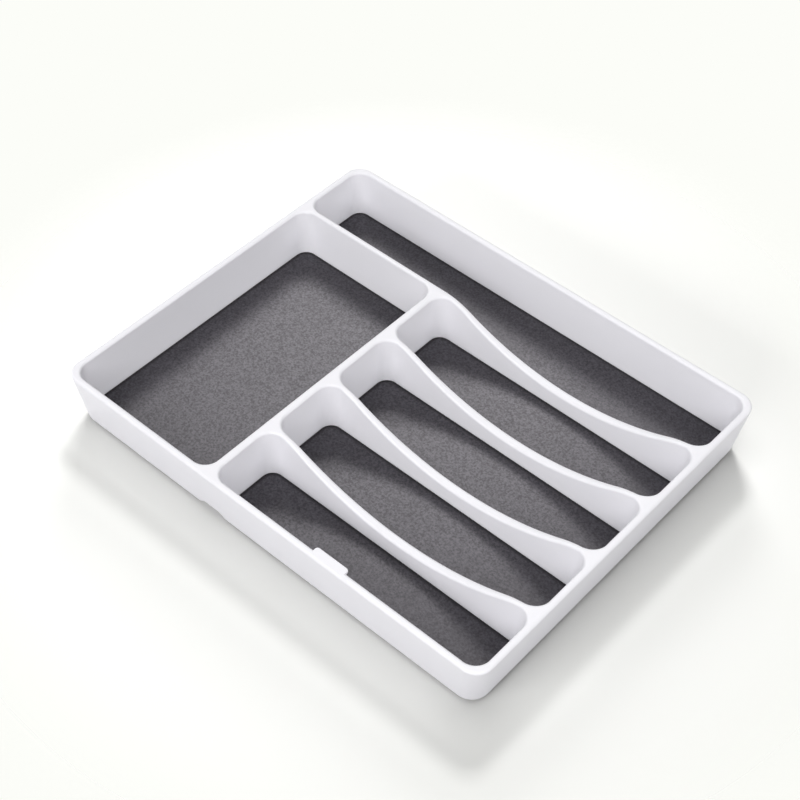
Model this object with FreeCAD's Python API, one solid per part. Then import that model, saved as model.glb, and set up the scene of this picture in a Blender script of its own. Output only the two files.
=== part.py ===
import FreeCAD, Part
import os
from math import asin, cos, radians, sin, sqrt, tan

os.makedirs("parts", exist_ok=True)

# Tray as a whole, standing on its feet: millimetres, origin on the table under the middle of the tray
tray_length = 406.0
tray_width = 330.0
tray_height = 48.0
foot_lift = 1.5                 # gap between the table and the flat underside

# Outer wall and rim
rim_width = 5.5                 # top of the outer wall, from its outer to its inner edge
wall_lean = 6.2                 # how far the outer wall leans in from the rim down to the underside
wall_corner_radius = 14.5       # upright corners, the same all the way down
base_edge_radius = 3.5          # rounding between the outer wall and the underside
rim_edge_radius = 2.2           # rounding along the outer edge of the rim
lip_bevel = 1.4                 # bevel along the edge of each pocket, on the rim and the dividers

# Pockets
floor_thickness = 3.0
pocket_draft_angle = 2.9        # degrees
pocket_corner_radius = 12.5     # at the rim
long_pocket_width = 62.9
wide_pocket_length = 142.0
small_pocket_count = 4
divider_width = 4.5             # at the rim
cross_divider_width = 6.2       # at the rim

# Scoop that lowers the dividers beside the small pockets
scoop_height = 19.4             # lowest point of the dividers above the table
scoop_shoulder_radius = 60.0    # convex bend where a divider comes down from the rim
scoop_margin = 1.0              # length of each divider that stays level at its ends

# Hollow underside of the dividers
divider_wall = 1.9
core_roof = 3.6                 # plastic left above a core at the lowest point of the scoop
core_end_wall = 9.0             # plastic left between a core and the inner edge of the rim

# Tab on the front rim
tab_length = 30.0
tab_reach = 4.0
tab_thickness = 3.0
tab_corner_radius = 2.4
tab_bevel = 0.6
tab_offset = 118.0              # from the cross divider to the middle of the tab
tab_root = 2.0                  # overlap of the tab with the rim

# Notch in the lower edge of the front wall, below the cross divider
notch_mouth = 34.0              # width at the level of the underside
notch_roof = 13.0               # width at the top
notch_rise = 6.5                # height above the underside, at the face of the wall

# Soft-grip liners
liner_thickness = 1.2
liner_clearance = 0.1

# Non-slip feet
foot_diameter = 14.0
foot_taper = 0.5                # narrowing of the radius from the top of a foot to the table
foot_recess = 0.6
foot_recess_clearance = 0.15
foot_inset = 27.0               # from the sides of the tray to the middle of a foot

overrun = 5.0                   # how far cutting shapes run past the plastic
level_tolerance = 1e-6
upward_share = 0.8              # least vertical share of the normal of a top face

# Levels and lines that follow from the sizes above
underside = foot_lift
floor_level = underside + floor_thickness
liner_level = floor_level + liner_thickness
draft_slope = tan(radians(pocket_draft_angle))
floor_inset = (tray_height - floor_level) * draft_slope
wall_slope = wall_lean / (tray_height - underside)
rim_flare = rim_edge_radius * (wall_slope + sqrt(1 + wall_slope ** 2) - 1)  # lost again to the rounded rim
inner_right = tray_length / 2 - rim_width
inner_left = -inner_right
inner_back = tray_width / 2 - rim_width
inner_front = -inner_back
cross_left = inner_left + wide_pocket_length
cross_right = cross_left + cross_divider_width
cross_middle = (cross_left + cross_right) / 2
long_front = inner_back - long_pocket_width
small_pitch = (long_front - inner_front) / small_pocket_count
small_pocket_width = small_pitch - divider_width
long_divider_front = long_front - divider_width
long_divider_middle = (long_front + long_divider_front) / 2


def pocket_bounds():
    bounds = {
        "long": (inner_left, inner_right, long_front, inner_back),
        "wide": (inner_left, cross_left, inner_front, long_divider_front),
    }
    for number in range(small_pocket_count):
        front = inner_front + number * small_pitch
        bounds["small_%d" % (number + 1)] = (cross_right, inner_right, front, front + small_pocket_width)
    return bounds


# Closed outline with round corners; a larger inset shrinks the corners with it, so that walls stay parallel
def rounded_rectangle(bounds, inset, radius, level):
    left, right, front, back = bounds
    left, right, front, back = left + inset, right - inset, front + inset, back - inset
    radius = radius - inset
    diagonal = radius * (1 - sqrt(0.5))
    corners = (
        ((right - radius, front), (right - diagonal, front + diagonal), (right, front + radius)),
        ((right, back - radius), (right - diagonal, back - diagonal), (right - radius, back)),
        ((left + radius, back), (left + diagonal, back - diagonal), (left, back - radius)),
        ((left, front + radius), (left + diagonal, front + diagonal), (left + radius, front)),
    )
    edges = []
    for number, corner in enumerate(corners):
        start, middle, end = [FreeCAD.Vector(x, y, level) for x, y in corner]
        following = FreeCAD.Vector(*corners[(number + 1) % len(corners)][0], level)
        edges.append(Part.Arc(start, middle, end).toShape())
        edges.append(Part.makeLine(end, following))
    return Part.Wire(edges)


def frustum(lower, upper):
    return Part.makeLoft([lower, upper], True, True)


# Block with flat walls between two rectangles; the wedge is made lying down and then stood up
def leaning_block(base, base_level, top, top_level):
    left, right, front, back = base
    top_left, top_right, top_front, top_back = top
    block = Part.makeWedge(
        left, base_level, -back, -top_back, top_left,
        right, top_level, -front, -top_front, top_right,
    )
    block.rotate(FreeCAD.Vector(0, 0, 0), FreeCAD.Vector(1, 0, 0), 90)
    return block


def edges_at_level(shape, level):
    found = []
    for edge in shape.Edges:
        box = edge.BoundBox
        if abs(box.ZMin - level) < level_tolerance and abs(box.ZMax - level) < level_tolerance:
            found.append(edge)
    return found


# Pocket hollow: walls with draft, open above the rim
def pocket_hollow(bounds):
    lower = rounded_rectangle(bounds, floor_inset, pocket_corner_radius, floor_level)
    upper = rounded_rectangle(bounds, -overrun * draft_slope, pocket_corner_radius, tray_height + overrun)
    return frustum(lower, upper)


# Outer form: a block with leaning walls, its upright corners rounded first and its lower edge after them
def outer_form():
    x_top = tray_length / 2 + rim_flare
    y_top = tray_width / 2 + rim_flare
    x_base = x_top - wall_lean
    y_base = y_top - wall_lean
    base = (-x_base, x_base, -y_base, y_base)
    top = (-x_top, x_top, -y_top, y_top)
    block = leaning_block(base, underside, top, tray_height)
    upright = [edge for edge in block.Edges if edge.BoundBox.ZLength > level_tolerance]
    form = block.makeFillet(wall_corner_radius, upright)
    return form.makeFillet(base_edge_radius, edges_at_level(form, underside))


# Scoop over the dividers: a wide hollow arc between two convex shoulders, tangent to the rim
def scoop():
    left = cross_right + scoop_margin
    right = inner_right - scoop_margin
    front = inner_front + small_pocket_width / 2
    back = (long_front + inner_back) / 2
    middle = (left + right) / 2
    half = (right - left) / 2
    depth = tray_height - scoop_height
    centre_distance = (half ** 2 + depth ** 2) / (2 * depth)
    bend_angle = asin(half / centre_distance)

    def on_shoulder(side, angle):
        out = half - scoop_shoulder_radius * sin(angle)
        drop = scoop_shoulder_radius * (1 - cos(angle))
        return FreeCAD.Vector(middle + side * out, front, tray_height - drop)

    start, start_bend = on_shoulder(-1, 0), on_shoulder(-1, bend_angle)
    end, end_bend = on_shoulder(1, 0), on_shoulder(1, bend_angle)
    lowest = FreeCAD.Vector(middle, front, scoop_height)
    lift = FreeCAD.Vector(0, 0, overrun)
    edges = [
        Part.Arc(start, on_shoulder(-1, bend_angle / 2), start_bend).toShape(),
        Part.Arc(start_bend, lowest, end_bend).toShape(),
        Part.Arc(end_bend, on_shoulder(1, bend_angle / 2), end).toShape(),
        Part.makeLine(end, end + lift),
        Part.makeLine(end + lift, start + lift),
        Part.makeLine(start + lift, start),
    ]
    return Part.Face(Part.Wire(edges)).extrude(FreeCAD.Vector(0, back - front, 0))


# Core under one divider: a slot that narrows upwards with the divider
def core(start, end, width_at_rim):
    roof = scoop_height - core_roof
    along = FreeCAD.Vector(end[0] - start[0], end[1] - start[1], 0).normalize()
    across = FreeCAD.Vector(-along.y, along.x, 0)

    def outline(level):
        half_width = width_at_rim / 2 + (tray_height - level) * draft_slope - divider_wall
        side = across * half_width
        first = FreeCAD.Vector(start[0], start[1], level)
        last = FreeCAD.Vector(end[0], end[1], level)
        return Part.makePolygon([first - side, last - side, last + side, first + side, first - side])

    return frustum(outline(underside - overrun), outline(roof))


def cores():
    left = inner_left + core_end_wall
    right = inner_right - core_end_wall
    front = inner_front + core_end_wall
    slots = [
        core((left, long_divider_middle), (right, long_divider_middle), divider_width),
        core((cross_middle, front), (cross_middle, long_divider_middle), cross_divider_width),
    ]
    for number in range(1, small_pocket_count):
        middle = inner_front + number * small_pitch - divider_width / 2
        slots.append(core((cross_middle, middle), (right, middle), divider_width))
    return slots[0].multiFuse(slots[1:])


# Notch: a flat arch that runs inwards and downwards through the lower edge of the front wall
def notch():
    roof = underside + notch_rise
    face = -tray_width / 2 - rim_flare + (tray_height - roof) * wall_slope
    spread_share = (notch_mouth - notch_roof) / 2 / notch_rise
    height = notch_rise + 2 * overrun
    half_roof = notch_roof / 2
    half_foot = half_roof + height * spread_share
    start = FreeCAD.Vector(cross_middle, face - overrun, roof + overrun)
    points = [
        start + FreeCAD.Vector(-half_foot, 0, -height),
        start + FreeCAD.Vector(-half_roof, 0, 0),
        start + FreeCAD.Vector(half_roof, 0, 0),
        start + FreeCAD.Vector(half_foot, 0, -height),
    ]
    arch = Part.Face(Part.makePolygon(points + points[:1]))
    return arch.extrude(FreeCAD.Vector(0, height, -height))


def foot_places():
    x = tray_length / 2 - foot_inset
    y = tray_width / 2 - foot_inset
    return {
        "front_left": (-x, -y),
        "front_right": (x, -y),
        "back_left": (-x, y),
        "back_right": (x, y),
    }


def foot_recesses():
    radius = foot_diameter / 2 + foot_recess_clearance
    base = underside - overrun
    height = foot_recess + overrun
    return [Part.makeCylinder(radius, height, FreeCAD.Vector(x, y, base)) for x, y in foot_places().values()]


# Edges around the level and scooped top faces, sorted into the outer edge of the rim and the pocket edges
def top_edges(shape):
    seen = {}
    for face in shape.Faces:
        u, v = face.Surface.parameter(face.CenterOfMass)
        if face.normalAt(u, v).z > upward_share and face.BoundBox.ZMin > liner_level:
            for edge in face.Edges:
                seen.setdefault(edge.hashCode(), []).append(edge)
    outer = []
    inner = []
    for edges in seen.values():
        if len(edges) > 1:
            continue
        box = edges[0].BoundBox
        reaches_x = max(abs(box.XMin), abs(box.XMax)) > inner_right + rim_width / 2
        reaches_y = max(abs(box.YMin), abs(box.YMax)) > inner_back + rim_width / 2
        if reaches_x or reaches_y:
            outer.append(edges[0])
        else:
            inner.append(edges[0])
    return outer, inner


# Tab: a small ledge level with the rim, reaching over the first small pocket
def tab():
    middle = cross_middle + tab_offset
    back = inner_front + tab_reach
    front = inner_front - tab_root
    bounds = (middle - tab_length / 2, middle + tab_length / 2, front - tab_corner_radius, back)
    outline = rounded_rectangle(bounds, 0, tab_corner_radius, tray_height - tab_thickness)
    ledge = Part.Face(outline).extrude(FreeCAD.Vector(0, 0, tab_thickness))
    exposed = [edge for edge in edges_at_level(ledge, tray_height) if edge.BoundBox.YMax > front]
    return ledge.makeChamfer(tab_bevel, exposed)


def tray_shell():
    hollows = [pocket_hollow(bounds) for bounds in pocket_bounds().values()]
    shell = outer_form().cut(hollows + [scoop()])
    shell = shell.makeChamfer(lip_bevel, top_edges(shell)[1])
    shell = shell.makeFillet(rim_edge_radius, top_edges(shell)[0])
    shell = shell.cut([cores(), notch()] + foot_recesses())
    return shell.fuse(tab()).removeSplitter()


# Liner: a sheet cut to the floor of its pocket
def liner(bounds):
    outline = rounded_rectangle(bounds, floor_inset + liner_clearance, pocket_corner_radius, floor_level)
    return Part.Face(outline).extrude(FreeCAD.Vector(0, 0, liner_thickness))


# Foot: a round pad that tapers to the table, its top in the recess of the underside
def foot(place):
    radius = foot_diameter / 2
    return Part.makeCone(radius - foot_taper, radius, foot_lift + foot_recess, FreeCAD.Vector(*place, 0))


tray_shell().exportStep("parts/tray_shell.step")
for name, bounds in pocket_bounds().items():
    liner(bounds).exportStep("parts/liner_%s.step" % name)
for name, place in foot_places().items():
    foot(place).exportStep("parts/foot_%s.step" % name)
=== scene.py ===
from math import atan, cos, pi, radians, sin, sqrt, tan

import bmesh
import bpy
from mathutils import Euler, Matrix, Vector
from mathutils.geometry import delaunay_2d_cdt


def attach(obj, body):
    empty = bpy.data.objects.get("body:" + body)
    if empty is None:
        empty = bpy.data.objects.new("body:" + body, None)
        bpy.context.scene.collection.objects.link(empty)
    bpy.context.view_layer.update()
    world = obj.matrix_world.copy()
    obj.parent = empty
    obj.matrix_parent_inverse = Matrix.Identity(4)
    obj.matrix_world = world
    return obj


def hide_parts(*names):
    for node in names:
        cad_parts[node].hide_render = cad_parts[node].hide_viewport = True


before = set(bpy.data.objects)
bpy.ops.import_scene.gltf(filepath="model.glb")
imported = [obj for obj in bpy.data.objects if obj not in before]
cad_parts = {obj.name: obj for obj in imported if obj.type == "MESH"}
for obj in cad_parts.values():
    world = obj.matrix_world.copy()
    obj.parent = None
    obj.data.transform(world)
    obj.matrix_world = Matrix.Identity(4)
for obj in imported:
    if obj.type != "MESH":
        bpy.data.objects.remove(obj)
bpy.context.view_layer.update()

millimetre = 0.001
lightGroups = ("tray", "shell", "liner", "floor")  # what a lamp may light
litBy = {name: bpy.data.collections.new(name + "Lit") for name in lightGroups}
print("frame loaded:", len(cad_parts), "nodes")


# mesh helpers, all in millimetres

meshing = {
    "stationMargin": 0.5,  # keeps added points off the corners
    "mergeGap": 1e-5,
    "insideOnly": 1,  # fill triangles inside the outer ring only
    "edgeSteps": 4,  # faces round a small rounded edge
}


def quarterAngles(steps):
    return [pi / 2 * step / steps for step in range(steps + 1)]


def roundedLoop(box, radius, cornerSteps, stations=((), ())):
    left, right, front, back = box
    corners = (
        (right - radius, front + radius, -90),
        (right - radius, back - radius, 0),
        (left + radius, back - radius, 90),
        (left + radius, front + radius, 180),
    )
    margin = meshing["stationMargin"]
    loop = []  # (point, outward direction), counter-clockwise from above
    for number, (x, y, turn) in enumerate(corners):
        for step in range(cornerSteps + 1):
            angle = radians(turn + 90 * step / cornerSteps)
            out = Vector((cos(angle), sin(angle)))
            loop.append((Vector((x, y)) + out * radius, out))
        here, out = loop[-1]
        nextX, nextY, nextTurn = corners[(number + 1) % len(corners)]
        there = Vector((nextX, nextY)) + out * radius
        axis = 0 if number % 2 else 1
        low, high = sorted((here[axis], there[axis]))
        between = [place for place in stations[axis] if low + margin < place < high - margin]
        between.sort(reverse=there[axis] < here[axis])
        for place in between:
            point = here.copy()
            point[axis] = place
            loop.append((point, out))
    return loop


def insetRing(bm, outline, inset, level):
    places = [point - out * inset for point, out in outline]
    return [bm.verts.new((place.x, place.y, level)) for place in places]


def circleRing(bm, middle, radius, level, sides):
    x, y = middle
    turns = [2 * pi * number / sides for number in range(sides)]
    places = [(x + radius * cos(turn), y + radius * sin(turn), level) for turn in turns]
    return [bm.verts.new(place) for place in places]


def skinRings(bm, rings):
    for lower, upper in zip(rings, rings[1:]):
        for number in range(len(lower)):
            after = (number + 1) % len(lower)
            bm.faces.new((lower[number], lower[after], upper[after], upper[number]))


def closedSkin(bm, rings):
    skinRings(bm, rings)
    bm.faces.new(rings[0])
    bm.faces.new(rings[-1])


def insideRing(point, ring):
    inside = False
    for number, vert in enumerate(ring):
        a, b = vert.co, ring[number - 1].co
        if (a.y > point.y) != (b.y > point.y):
            if point.x < (b.x - a.x) * (point.y - a.y) / (b.y - a.y) + a.x:
                inside = not inside
    return inside


def fillBetween(bm, outerRing, holeRings):
    rings = [outerRing] + holeRings
    verts = [vert for ring in rings for vert in ring]
    edges = []
    first = 0
    for ring in rings:
        count = len(ring)
        edges += [(first + number, first + (number + 1) % count) for number in range(count)]
        first += count
    flat = [vert.co.xy for vert in verts]
    found = delaunay_2d_cdt(flat, edges, [], meshing["insideOnly"], meshing["mergeGap"])
    triangles, origins = found[2], found[3]
    for triangle in triangles:
        corners = [verts[origins[place][0]] for place in triangle]
        middle = sum((vert.co for vert in corners), Vector()) / 3
        if not any(insideRing(middle, ring) for ring in holeRings):
            bm.faces.new(corners)


def addObject(name, data):
    thing = bpy.data.objects.new(name, data)
    bpy.context.scene.collection.objects.link(thing)
    return thing


def newPiece(name, bm, material, node, slotName, sharpAngle):
    bmesh.ops.recalc_face_normals(bm, faces=bm.faces)
    bmesh.ops.scale(bm, vec=(millimetre,) * 3, verts=bm.verts)
    mesh = bpy.data.meshes.new(name)
    bm.to_mesh(mesh)
    bm.free()
    mesh.shade_smooth()
    mesh.set_sharp_from_angle(angle=radians(sharpAngle))
    mesh.materials.append(material)
    piece = addObject(name, mesh)
    weighted = piece.modifiers.new("flatFacesLead", "WEIGHTED_NORMAL")
    weighted.keep_sharp = True
    litBy["tray"].objects.link(piece)
    litBy["liner" if slotName == "liner" else "shell"].objects.link(piece)
    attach(piece, "root")
    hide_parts(node)
    return piece


# grain and mottling that the plastic, the liners and the feet share

grainNoise = {
    "grainDetail": 3.0,
    "grainRoughness": 0.6,
    "mottleDetail": 2.0,
    "mottleSpan": (0.35, 0.65),
}


def addSocket(group, name, way):
    group.interface.new_socket(name=name, in_out=way, socket_type="NodeSocketFloat")


def makeGrainGroup():
    group = bpy.data.node_groups.new("surfaceGrain", "ShaderNodeTree")
    addSocket(group, "Grain Scale", "INPUT")
    addSocket(group, "Mottle Scale", "INPUT")
    addSocket(group, "Grain", "OUTPUT")
    addSocket(group, "Mottle", "OUTPUT")
    nodes, links = group.nodes, group.links
    inputs = nodes.new("NodeGroupInput")
    outputs = nodes.new("NodeGroupOutput")
    place = nodes.new("ShaderNodeTexCoord")
    grain = nodes.new("ShaderNodeTexNoise")
    grain.inputs["Detail"].default_value = grainNoise["grainDetail"]
    grain.inputs["Roughness"].default_value = grainNoise["grainRoughness"]
    mottle = nodes.new("ShaderNodeTexNoise")
    mottle.inputs["Detail"].default_value = grainNoise["mottleDetail"]
    wiring = ((grain, "Grain Scale", "Grain"), (mottle, "Mottle Scale", "Mottle"))
    for noise, scaleName, outName in wiring:
        links.new(place.outputs["Object"], noise.inputs["Vector"])
        links.new(inputs.outputs[scaleName], noise.inputs["Scale"])
        links.new(noise.outputs["Fac"], outputs.inputs[outName])
    return group


grainGroup = makeGrainGroup()


def grainyMaterial(name, look):
    material = bpy.data.materials.new(name)
    material.use_nodes = True
    nodes, links = material.node_tree.nodes, material.node_tree.links
    shader = nodes["Principled BSDF"]
    grain = nodes.new("ShaderNodeGroup")
    grain.node_tree = grainGroup
    grain.inputs["Grain Scale"].default_value = look["grainScale"]
    grain.inputs["Mottle Scale"].default_value = look["mottleScale"]

    def spread(source, low, high, span):
        remap = nodes.new("ShaderNodeMapRange")
        limits = {"From Min": span[0], "From Max": span[1], "To Min": low, "To Max": high}
        for socket, value in limits.items():
            remap.inputs[socket].default_value = value
        links.new(grain.outputs[source], remap.inputs["Value"])
        return remap.outputs["Result"]

    def colourMix(blendType):
        mix = nodes.new("ShaderNodeMix")
        mix.data_type = "RGBA"
        mix.blend_type = blendType
        return mix

    def blend(dark, light, factor):
        mix = colourMix("MIX")
        mix.inputs["A"].default_value = (*dark, 1)
        mix.inputs["B"].default_value = (*light, 1)
        links.new(factor, mix.inputs["Factor"])
        return mix.outputs["Result"]

    speckle = blend(look["dark"], look["light"], spread("Grain", 0, 1, look["grainSpan"]))
    cloud = spread("Mottle", 0, 1, grainNoise["mottleSpan"])
    tint = colourMix("MULTIPLY")
    tint.inputs["Factor"].default_value = 1.0
    links.new(speckle, tint.inputs["A"])
    links.new(blend(look["mottleDark"], (1, 1, 1), cloud), tint.inputs["B"])
    colour = tint.outputs["Result"]
    # painted shade: the base colour is darkened along the sheet's edge by the wall, standing in
    # for the shade in the crease there
    if "paintedCreaseShade" in look:
        paintedShadeMask = nodes.new("ShaderNodeAttribute")
        paintedShadeMask.attribute_name = "paintedShadeBand"
        edge = colourMix("MULTIPLY")
        edge.inputs["B"].default_value = (*look["paintedCreaseShade"], 1)
        links.new(paintedShadeMask.outputs["Fac"], edge.inputs["Factor"])
        links.new(colour, edge.inputs["A"])
        colour = edge.outputs["Result"]
    links.new(colour, shader.inputs["Base Color"])
    gloss = spread("Grain", *look["roughness"], look["grainSpan"])
    links.new(gloss, shader.inputs["Roughness"])
    bump = nodes.new("ShaderNodeBump")
    bump.inputs["Strength"].default_value = look["bumpStrength"]
    bump.inputs["Distance"].default_value = look["bumpDepth"] * millimetre
    links.new(grain.outputs["Grain"], bump.inputs["Height"])
    links.new(bump.outputs["Normal"], shader.inputs["Normal"])
    shader.inputs["Specular IOR Level"].default_value = look["specular"]
    shader.inputs["Specular Tint"].default_value = (*look["specularTint"], 1)
    return material


# the tray shell, one white moulding

shellLook = {
    "light": (0.902, 0.894, 0.932),
    "dark": (0.887, 0.879, 0.917),
    "mottleDark": (0.985, 0.985, 0.985),
    "grainScale": 1800.0,
    "mottleScale": 14.0,
    "grainSpan": (0.35, 0.65),
    "roughness": (0.42, 0.52),
    "bumpStrength": 0.25,
    "bumpDepth": 0.03,
    "specular": 0.35,
    "specularTint": (1.0, 1.0, 1.0),
}

shellForm = {
    "length": 406.0,
    "width": 330.0,
    "height": 48.0,
    "underside": 1.5,
    "floor": 4.5,
    "rimWidth": 5.5,
    "wallLean": 6.2,
    "wallCornerRadius": 14.5,
    "rimEdgeRadius": 2.2,
    "baseEdgeRadius": 3.5,
    "lipRadius": 2.15,
    "draftAngle": 2.9,
    "pocketCornerRadius": 12.5,
    "longPocketWidth": 62.9,
    "widePocketLength": 142.0,
    "smallPockets": 4,
    "dividerWidth": 4.5,
    "crossDividerWidth": 6.2,
    "scoopHeight": 19.4,
    "scoopShoulderRadius": 60.0,
    "scoopMargin": 1.0,
    "cornerSteps": 12,
    "rimSteps": 8,
    "baseSteps": 6,
    "lipSteps": 6,
    "stationGap": 4.0,  # points along the scooped dividers
    "stationCount": 60,
    "wallLevels": (38.0, 28.0, 18.0, 12.0, 10.5, 9.5, 8.5, 7.5, 6.5, 5.5),  # closer at the notch
    "undersideInsets": (1.2, 2.4, 3.6, 4.8),
    "sharpAngle": 40.0,
}

undersideForm = {
    "dividerWall": 1.9,
    "coreRoof": 3.6,
    "coreEndWall": 9.0,
    "notchMouth": 34.0,
    "notchRoof": 13.0,
    "notchRise": 6.5,
    "notchGap": 1.5,  # points along the notch
    "notchReach": 14,
    "footDiameter": 14.0,
    "footRecess": 0.6,
    "footRecessClearance": 0.15,
    "footInset": 27.0,
    "recessSides": 40,
}

tabForm = {
    "length": 30.0,
    "reach": 4.0,
    "thickness": 3.0,
    "offset": 118.0,
    "root": 3.0,
    "edgeRadius": 0.9,
    "lowerBevel": 0.3,  # share of the edge radius
    "cornerRadius": 2.4,
    "cornerSteps": 6,
    "topGap": 0.02,  # a hair under the rim, so that the two tops don't coincide
}

height, underside, floorLevel = shellForm["height"], shellForm["underside"], shellForm["floor"]
draftSlope = tan(radians(shellForm["draftAngle"]))
wallSlope = shellForm["wallLean"] / (height - underside)
innerRight = shellForm["length"] / 2 - shellForm["rimWidth"]
innerBack = shellForm["width"] / 2 - shellForm["rimWidth"]
crossLeft = -innerRight + shellForm["widePocketLength"]
crossRight = crossLeft + shellForm["crossDividerWidth"]
crossMiddle = (crossLeft + crossRight) / 2
longFront = innerBack - shellForm["longPocketWidth"]
smallPitch = (longFront + innerBack) / shellForm["smallPockets"]
longDividerMiddle = longFront - shellForm["dividerWidth"] / 2


def pocketBoxes():
    boxes = {
        "liner_long": (-innerRight, innerRight, longFront, innerBack),
        "liner_wide": (-innerRight, crossLeft, -innerBack, longFront - shellForm["dividerWidth"]),
    }
    for number in range(shellForm["smallPockets"]):
        front = -innerBack + number * smallPitch
        back = front + smallPitch - shellForm["dividerWidth"]
        boxes["liner_small_%d" % (number + 1)] = (crossRight, innerRight, front, back)
    return boxes


def topLevel(x, y):
    if not -innerBack + smallPitch / 2 < y < (longFront + innerBack) / 2:
        return height
    left = crossRight + shellForm["scoopMargin"]
    right = innerRight - shellForm["scoopMargin"]
    half = (right - left) / 2
    away = abs(x - (left + right) / 2)
    if away >= half:
        return height
    depth = height - shellForm["scoopHeight"]
    shoulder = shellForm["scoopShoulderRadius"]
    centres = (half ** 2 + depth ** 2) / (2 * depth)
    hollow = centres - shoulder
    if away > half - shoulder * half / centres:
        return height - shoulder + sqrt(shoulder ** 2 - (half - away) ** 2)
    return shellForm["scoopHeight"] + hollow - sqrt(hollow ** 2 - away ** 2)


def cutNotch(x, y, z):
    roof = underside + undersideForm["notchRise"]
    face = -shellForm["width"] / 2 + (height - roof) * wallSlope
    halfRoof = undersideForm["notchRoof"] / 2
    halfMouth = undersideForm["notchMouth"] / 2
    share = 1 - (abs(x - crossMiddle) - halfRoof) / (halfMouth - halfRoof)
    share = min(max(share, 0), 1)
    lift = undersideForm["notchRise"] * share * share * (3 - 2 * share)
    lack = underside + face + lift - y - z
    if share > 0 and lack > 0:
        return Vector((x, y + lack / 2, z + lack / 2))
    return Vector((x, y, z))


def wallInset(level):
    rim = shellForm["rimEdgeRadius"]
    return (height - level) * wallSlope - rim * (wallSlope + sqrt(1 + wallSlope ** 2) - 1)


def outerProfile():
    rim, base = shellForm["rimEdgeRadius"], shellForm["baseEdgeRadius"]
    rimSteps, baseSteps = shellForm["rimSteps"], shellForm["baseSteps"]
    lean = atan(wallSlope)
    profile = []  # (inset, level) from the top of the rim round to the underside
    for step in range(rimSteps + 1):
        angle = pi / 2 - (pi / 2 + lean) * step / rimSteps
        profile.append((rim - rim * cos(angle), height - rim + rim * sin(angle)))
    for level in shellForm["wallLevels"]:
        profile.append((wallInset(level), level))
    baseCentre = underside + base
    baseInset = wallInset(baseCentre) + base * sqrt(1 + wallSlope ** 2)
    for step in range(baseSteps + 1):
        angle = -lean - (pi / 2 - lean) * step / baseSteps
        profile.append((baseInset - base * cos(angle), baseCentre + base * sin(angle)))
    for inset in shellForm["undersideInsets"]:
        profile.append((baseInset + inset, underside))
    return profile


def addOuterWall(bm):
    notchReach = undersideForm["notchReach"]
    places = range(-notchReach, notchReach + 1)
    notchStations = [crossMiddle + undersideForm["notchGap"] * place for place in places]
    rings = []
    for inset, level in outerProfile():
        x, y = shellForm["length"] / 2 - inset, shellForm["width"] / 2 - inset
        # only the rounded edges take from the corners
        radius = shellForm["wallCornerRadius"] - inset + wallInset(level)
        box = (-x, x, -y, y)
        outline = roundedLoop(box, radius, shellForm["cornerSteps"], (notchStations, ()))
        points = [cutNotch(point.x, point.y, level) for point, out in outline]
        rings.append([bm.verts.new(point) for point in points])
    skinRings(bm, rings)
    return rings


def addPocket(bm, pocket):
    lip, lipSteps = shellForm["lipRadius"], shellForm["lipSteps"]
    places = range(1, shellForm["stationCount"] + 1)
    stations = [crossRight + shellForm["stationGap"] * place for place in places]
    corner, cornerSteps = shellForm["pocketCornerRadius"], shellForm["cornerSteps"]
    rings = [[] for number in range(lipSteps + 3)]  # floor, half height, start of the lip, lip
    for point, out in roundedLoop(pocket, corner, cornerSteps, (stations, ())):
        low = topLevel(point.x, point.y) - lip
        halfway = floorLevel + (low - floorLevel) * 0.5
        for number, level in enumerate((floorLevel, halfway, low)):
            place = point - out * (height - level) * draftSlope
            rings[number].append(bm.verts.new((place.x, place.y, level)))
        start = point - out * (height - low) * draftSlope
        for step, angle in enumerate(quarterAngles(lipSteps)[1:]):
            place = start + out * lip * (1 - cos(angle))
            level = topLevel(place.x, place.y) - lip * (1 - sin(angle))
            rings[3 + step].append(bm.verts.new((place.x, place.y, level)))
    skinRings(bm, rings)
    bm.faces.new(rings[0])
    return rings[-1]


def addCore(bm):
    # the hollow underside of the dividers
    form, slot = shellForm, undersideForm
    left, right = -innerRight + slot["coreEndWall"], innerRight - slot["coreEndWall"]
    front = -innerBack + slot["coreEndWall"]
    rings = []
    for level in (underside, form["scoopHeight"] - slot["coreRoof"]):
        spare = (height - level) * draftSlope - slot["dividerWall"]
        half = form["dividerWidth"] / 2 + spare
        cross = form["crossDividerWidth"] / 2 + spare
        crossStart, crossEnd = crossMiddle - cross, crossMiddle + cross
        corners = [(crossStart, front), (crossEnd, front)]
        for number in range(1, form["smallPockets"]):
            middle = -innerBack + number * smallPitch - form["dividerWidth"] / 2
            corners += [(crossEnd, middle - half), (right, middle - half)]
            corners += [(right, middle + half), (crossEnd, middle + half)]
        low, high = longDividerMiddle - half, longDividerMiddle + half
        corners += [(crossEnd, low), (right, low), (right, high)]
        corners += [(left, high), (left, low), (crossStart, low)]
        rings.append([bm.verts.new((x, y, level)) for x, y in corners])
    skinRings(bm, rings)
    bm.faces.new(rings[-1])
    return rings[0]


def footPlaces():
    x = shellForm["length"] / 2 - undersideForm["footInset"]
    y = shellForm["width"] / 2 - undersideForm["footInset"]
    return {
        "foot_front_left": (-x, -y),
        "foot_front_right": (x, -y),
        "foot_back_left": (-x, y),
        "foot_back_right": (x, y),
    }


def addFootRecess(bm, middle):
    radius = undersideForm["footDiameter"] / 2 + undersideForm["footRecessClearance"]
    levels = (underside, underside + undersideForm["footRecess"])
    sides = undersideForm["recessSides"]
    rings = [circleRing(bm, middle, radius, level, sides) for level in levels]
    skinRings(bm, rings)
    bm.faces.new(rings[1])
    return rings[0]


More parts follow.
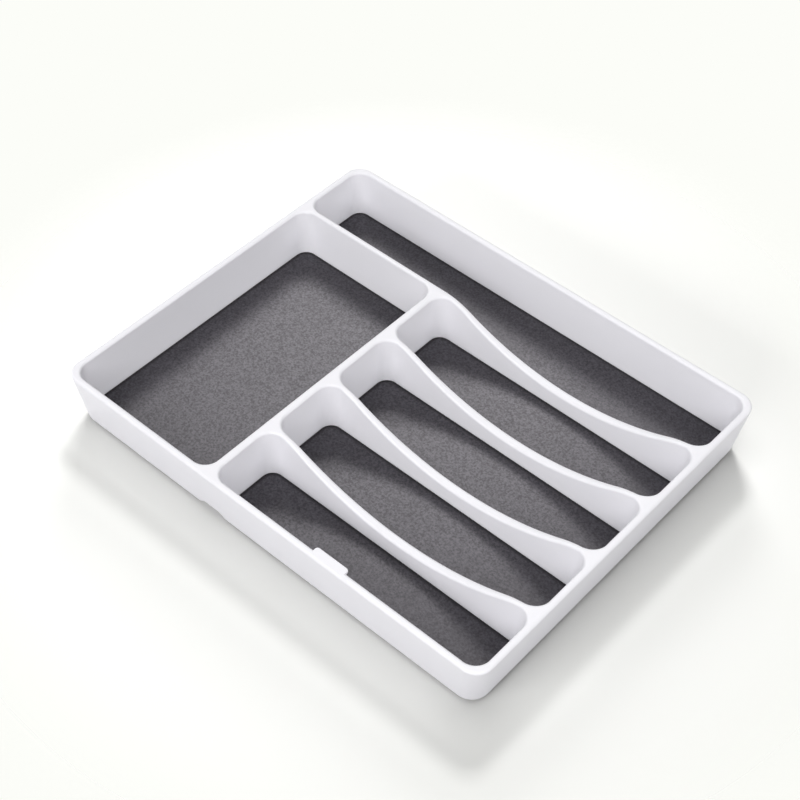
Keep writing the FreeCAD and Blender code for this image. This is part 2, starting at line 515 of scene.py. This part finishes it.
def addTab(bm):
    tab = tabForm
    middle = crossMiddle + tab["offset"]
    left, right = middle - tab["length"] / 2, middle + tab["length"] / 2
    box = (left, right, -innerBack - tab["root"], -innerBack + tab["reach"])
    outline = roundedLoop(box, tab["cornerRadius"], tab["cornerSteps"])
    edge, top = tab["edgeRadius"], height - tab["topGap"]
    base, bevel = top - tab["thickness"], edge * tab["lowerBevel"]
    profile = [(edge, base), (bevel, base + bevel), (0, base + edge)]
    for angle in quarterAngles(meshing["edgeSteps"]):
        profile.append((edge - edge * cos(angle), top - edge + edge * sin(angle)))
    closedSkin(bm, [insetRing(bm, outline, inset, level) for inset, level in profile])


def buildShell():
    bm = bmesh.new()
    outerRings = addOuterWall(bm)
    lipRings = [addPocket(bm, pocket) for pocket in pocketBoxes().values()]
    fillBetween(bm, outerRings[0], lipRings)
    coreRing = addCore(bm)
    recessRings = [addFootRecess(bm, place) for place in footPlaces().values()]
    fillBetween(bm, outerRings[-1], [coreRing] + recessRings)
    addTab(bm)
    return bm


whitePlastic = grainyMaterial("whiteMouldedPlastic", shellLook)
trayShell = newPiece(
    "trayShell", buildShell(), whitePlastic, "tray_shell", "shell", shellForm["sharpAngle"]
)
print("tray shell built:", len(trayShell.data.polygons), "faces")


# the liners, soft-grip sheets on the pocket floors

linerLook = {
    "light": (0.0660, 0.0622, 0.0726),
    "dark": (0.0230, 0.0216, 0.0256),
    "mottleDark": (0.92, 0.92, 0.92),
    # painted shade: the colour multiplied in along the sheet's edge, for the shade in the crease
    # at the wall
    "paintedCreaseShade": (0.22, 0.22, 0.22),
    "grainScale": 620.0,
    "mottleScale": 30.0,
    "grainSpan": (0.35, 0.65),
    "roughness": (0.46, 0.36),
    "bumpStrength": 0.5,
    "bumpDepth": 0.15,
    "specular": 0.30,
    "specularTint": (1.0, 0.955, 1.0),
}

linerForm = {
    "thickness": 1.2,
    "clearance": 0.1,
    "edgeRadius": 1.0,
    "paintedShadeBand": 1.8,  # painted shade where the sheet meets the wall: full this far in, then fading out
    "paintedShadeFade": 3.6,
    "cornerSteps": 10,
    "sharpAngle": 40.0,
}


def buildLiner(pocket):
    bm = bmesh.new()
    wall = (height - floorLevel) * draftSlope + linerForm["clearance"]
    outline = roundedLoop(pocket, shellForm["pocketCornerRadius"], linerForm["cornerSteps"])
    edge, top = linerForm["edgeRadius"], floorLevel + linerForm["thickness"]
    # painted shade mask: 1 at the sheet's edge by the wall, 0 further in
    paintedShadeMask = bm.verts.layers.float.new("paintedShadeBand")
    profile = [(wall, floorLevel, 1)]  # (inset, level, painted shade)
    for angle in quarterAngles(meshing["edgeSteps"]):
        profile.append((wall + edge - edge * cos(angle), top - edge + edge * sin(angle), 1))
    profile.append((wall + linerForm["paintedShadeBand"], top, 1))
    profile.append((wall + linerForm["paintedShadeFade"], top, 0))
    rings = []
    for inset, level, shade in profile:
        rings.append(insetRing(bm, outline, inset, level))
        for vert in rings[-1]:
            vert[paintedShadeMask] = shade
    closedSkin(bm, rings)
    return bm


softGrip = grainyMaterial("softGripSheet", linerLook)
for node, pocket in pocketBoxes().items():
    name = node.replace("_", ".")
    newPiece(name, buildLiner(pocket), softGrip, node, "liner", linerForm["sharpAngle"])
print("liners built:", len(pocketBoxes()))


# the feet, round non-slip pads

footLook = {
    "light": (0.10, 0.10, 0.105),
    "dark": (0.07, 0.07, 0.074),
    "mottleDark": (0.92, 0.92, 0.92),
    "grainScale": 1600.0,
    "mottleScale": 30.0,
    "grainSpan": (0.35, 0.65),
    "roughness": (0.60, 0.50),
    "bumpStrength": 0.5,
    "bumpDepth": 0.08,
    "specular": 0.5,
    "specularTint": (1.0, 1.0, 1.0),
}

footForm = {
    "taper": 0.5,
    "edgeRadius": 0.5,
    "dishDepth": 0.35,
    "dishRadius": 4.4,
    "dishBevel": 0.5,
    "sides": 48,
    "sharpAngle": 35.0,
}


def buildFoot(place):
    bm = bmesh.new()
    radius = undersideForm["footDiameter"] / 2
    low = radius - footForm["taper"]
    edge, dish = footForm["edgeRadius"], footForm["dishRadius"]
    profile = [(radius, underside + undersideForm["footRecess"])]  # (radius, level)
    for angle in quarterAngles(meshing["edgeSteps"]):
        profile.append((low - edge + edge * cos(angle), edge - edge * sin(angle)))
    profile += [(dish, 0), (dish - footForm["dishBevel"], footForm["dishDepth"])]
    sides = footForm["sides"]
    closedSkin(bm, [circleRing(bm, place, across, level, sides) for across, level in profile])
    return bm


footRubber = grainyMaterial("footRubber", footLook)
for node, place in footPlaces().items():
    name = node.replace("foot_", "foot.")
    newPiece(name, buildFoot(place), footRubber, node, "foot", footForm["sharpAngle"])
print("feet built:", len(footPlaces()))


# floor, light and camera

studio = {
    "backgroundColour": (0.974, 0.982, 0.940),
    "floorColour": (0.819, 0.822, 0.799),
    "floorBounce": (0.55, 0.55, 0.55),
    "floorRoughness": 0.6,
    "floorSpecular": 0.2,
    "floorReach": 1.6,
    "floorFade": (0.275, 0.42),
    "worldStrength": 0.0,
    "lamps": (  # name, what it lights, place, size, power
        ("keySoftbox", "shell", (-1.02, 1.45, 2.0), (0.75, 0.75), 17.5),
        ("leftSoftbox", "tray", (-2.4, 0.0, 0.7), (2.6, 1.2), 22.0),
        ("frontSoftbox", "tray", (0.3, -1.95, 1.8), (2.35, 1.55), 55.5),
        ("lowSoftbox", "tray", (0.0, -2.4, 0.7), (2.6, 1.2), 5.5),
        ("rightSoftbox", "tray", (2.0, 0.4, 1.6), (2.4, 1.6), 33.5),
        ("linerKey", "liner", (-1.04, 1.74, 2.0), (0.7, 0.7), 26.0),
        ("linerLeft", "liner", (-1.5, 1.24, 2.0), (0.7, 0.7), 21.5),
        ("floorKey", "floor", (-1.02, 1.45, 2.0), (0.5, 0.5), 34.0),
        ("floorBack", "floor", (-1.6, 1.9, 1.2), (0.8, 0.8), 34.5),
        ("floorFront", "floor", (0.0, -2.4, 0.7), (2.6, 1.2), 68.0),
        ("floorTop", "floor", (0.0, 0.0, 2.6), (2.0, 2.0), 33.5),
    ),
    "lens": 75.475,
    "sensorWidth": 36.0,
    "cameraReach": (0.05, 50.0),
    "cameraPlace": (0.54137, -0.65638, 0.97473),
    "cameraTurn": (42.0787, -1.2526, 41.4162),
}


def pathMask(nodes, links):
    path = nodes.new("ShaderNodeLightPath")
    total = path.outputs["Is Camera Ray"]
    for ray in ("Is Glossy Ray", "Is Transmission Ray"):
        either = nodes.new("ShaderNodeMath")
        either.operation = "MAXIMUM"
        links.new(total, either.inputs[0])
        links.new(path.outputs[ray], either.inputs[1])
        total = either.outputs["Value"]
    return total


def mixShader(nodes, links, factor, first, second):
    mix = nodes.new("ShaderNodeMixShader")
    links.new(factor, mix.inputs["Fac"])
    links.new(first, mix.inputs[1])
    links.new(second, mix.inputs[2])
    return mix.outputs["Shader"]


def floorMaterial():
    material = bpy.data.materials.new("paleFloor")
    material.use_nodes = True
    nodes, links = material.node_tree.nodes, material.node_tree.links
    seen = nodes["Principled BSDF"]  # the floor as the camera and reflections see it
    seen.inputs["Base Color"].default_value = (*studio["floorColour"], 1)
    seen.inputs["Roughness"].default_value = studio["floorRoughness"]
    seen.inputs["Specular IOR Level"].default_value = studio["floorSpecular"]
    bounce = nodes.new("ShaderNodeBsdfDiffuse")  # the floor as it lights the tray
    bounce.inputs["Color"].default_value = (*studio["floorBounce"], 1)
    looked = pathMask(nodes, links)
    solid = mixShader(nodes, links, looked, bounce.outputs["BSDF"], seen.outputs["BSDF"])
    place = nodes.new("ShaderNodeTexCoord")
    away = nodes.new("ShaderNodeVectorMath")
    away.operation = "LENGTH"
    links.new(place.outputs["Object"], away.inputs[0])
    fade = nodes.new("ShaderNodeMapRange")  # the floor thins out into the white around it
    fade.interpolation_type = "SMOOTHSTEP"
    for socket, value in zip(("From Min", "From Max"), studio["floorFade"]):
        fade.inputs[socket].default_value = value
    links.new(away.outputs["Value"], fade.inputs["Value"])
    thin = nodes.new("ShaderNodeMath")  # where it is looked at; it lights the tray all the same
    thin.operation = "MULTIPLY"
    links.new(fade.outputs["Result"], thin.inputs[0])
    links.new(looked, thin.inputs[1])
    gone = nodes.new("ShaderNodeBsdfTransparent")
    ground = mixShader(nodes, links, thin.outputs["Value"], solid, gone.outputs["BSDF"])
    links.new(ground, nodes["Material Output"].inputs["Surface"])
    return material


def buildFloor():
    mesh = bpy.data.meshes.new("floor")
    reach = studio["floorReach"]
    corners = [(-reach, -reach, 0), (reach, -reach, 0), (reach, reach, 0), (-reach, reach, 0)]
    mesh.from_pydata(corners, [], [(0, 1, 2, 3)])
    mesh.materials.append(floorMaterial())
    floor = addObject("floor", mesh)
    litBy["floor"].objects.link(floor)


def addSoftbox(name, lights, place, size, power):
    data = bpy.data.lights.new(name, "AREA")
    data.energy = power
    data.shape = "RECTANGLE"
    data.size, data.size_y = size
    box = addObject(name, data)
    box.location = place
    box.rotation_euler = (-Vector(place)).to_track_quat("-Z", "Y").to_euler()
    box.light_linking.receiver_collection = litBy[lights]


def setWorld():
    world = bpy.data.worlds.new("studio")
    bpy.context.scene.world = world
    world.use_nodes = True
    nodes, links = world.node_tree.nodes, world.node_tree.links
    nodes.clear()
    light = nodes.new("ShaderNodeBackground")
    light.inputs["Strength"].default_value = studio["worldStrength"]
    light.inputs["Color"].default_value = (1, 1, 1, 1)
    white = nodes.new("ShaderNodeBackground")
    white.inputs["Color"].default_value = (*studio["backgroundColour"], 1)
    looked = pathMask(nodes, links)
    sky = mixShader(nodes, links, looked, light.outputs["Background"], white.outputs["Background"])
    out = nodes.new("ShaderNodeOutputWorld")
    links.new(sky, out.inputs["Surface"])


def addCamera():
    data = bpy.data.cameras.new("photoCamera")
    data.lens = studio["lens"]
    data.sensor_width = studio["sensorWidth"]
    data.clip_start, data.clip_end = studio["cameraReach"]
    camera = addObject("photoCamera", data)
    camera.location = studio["cameraPlace"]
    camera.rotation_euler = Euler([radians(turn) for turn in studio["cameraTurn"]], "XYZ")
    bpy.context.scene.camera = camera


buildFloor()
for lamp in studio["lamps"]:
    addSoftbox(*lamp)
setWorld()
addCamera()
bpy.context.scene.view_settings.view_transform = "Standard"
print("studio ready")
